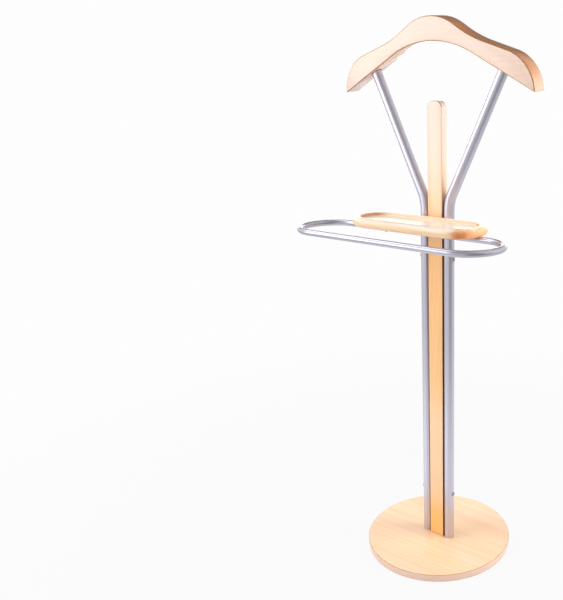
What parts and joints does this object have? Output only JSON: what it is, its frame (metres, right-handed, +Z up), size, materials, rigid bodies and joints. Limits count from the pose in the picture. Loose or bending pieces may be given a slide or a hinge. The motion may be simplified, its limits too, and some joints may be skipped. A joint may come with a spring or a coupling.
{
  "type": "clothes valet stand",
  "caption": "Free-standing beech and silver tube clothes valet with round base, jacket hanger, small tray and trouser bar loop",
  "frame": {"origin": "On the floor, under the middle of the round base", "axes": "+Z up along the post, +X along the hanger to the right as seen from the front, -Y to the front, where the tray and the trouser bar stand out"},
  "size_m": [0.433, 0.3398, 1.0507],
  "materials": {
    "beech": "pale beech under a clear gloss lacquer, fine straight grain with short flecks",
    "beech_edge": "beech edge band, slightly pinker than the board, clear lacquer",
    "silver_tube": "silver paint on steel tube, satin with a faint violet cast",
    "fastener_steel": "zinc plated steel, satin",
    "felt": "grey-brown felt, matt"
  },
  "bodies": {
    "root": {"base_board": "beech", "base_edge_band": "beech_edge", "base_pads": "felt", "base_bolts": "fastener_steel", "base_washers": "fastener_steel", "tube_plugs": "fastener_steel", "left_tube": "silver_tube", "right_tube": "silver_tube", "centre_slat": "beech", "slat_screws": "fastener_steel", "cross_bolts": "fastener_steel", "sleeve_nuts": "fastener_steel", "hanger": "beech", "hanger_screws": "fastener_steel", "tray": "beech", "tray_screws": "fastener_steel", "trouser_bar": "silver_tube", "bar_spigot": "fastener_steel", "bar_screws": "fastener_steel"}
  },
  "joints": []
}
